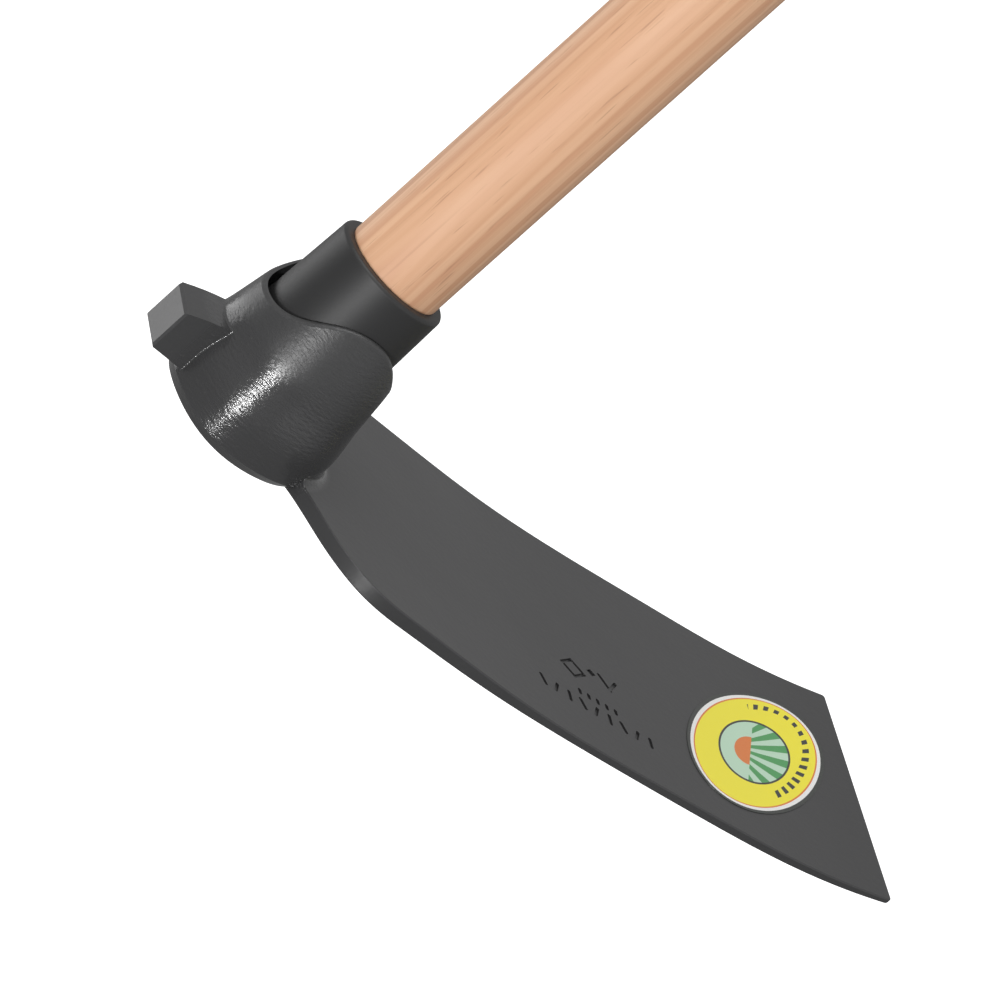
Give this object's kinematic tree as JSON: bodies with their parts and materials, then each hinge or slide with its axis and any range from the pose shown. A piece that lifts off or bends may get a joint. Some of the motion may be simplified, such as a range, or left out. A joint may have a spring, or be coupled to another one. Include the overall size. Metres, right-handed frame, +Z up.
{
  "type": "grub hoe",
  "caption": "Forged grub hoe head with a broad dished blade, round eye and poll lug, bushed onto a long turned handle.",
  "frame": {"origin": "on the handle's axis, level with the root of the blade", "axes": "+Z up the handle away from the head, +X out to the cutting edge, Y across the blade"},
  "size_m": [0.3252, 0.1306, 1.3019],
  "materials": {
    "forged_steel": "black lacquer over forged steel",
    "bush_plastic": "satin black moulded plastic",
    "handle_wood": "pale turned hardwood under thin satin varnish",
    "wedge_wood": "plain sawn hardwood",
    "label_print": "printed vinyl sticker"
  },
  "bodies": {
    "root": {"hoe_head": "forged_steel", "eye_bush": "bush_plastic", "handle": "handle_wood", "handle_wedge": "wedge_wood", "blade_label": "label_print"}
  },
  "joints": []
}
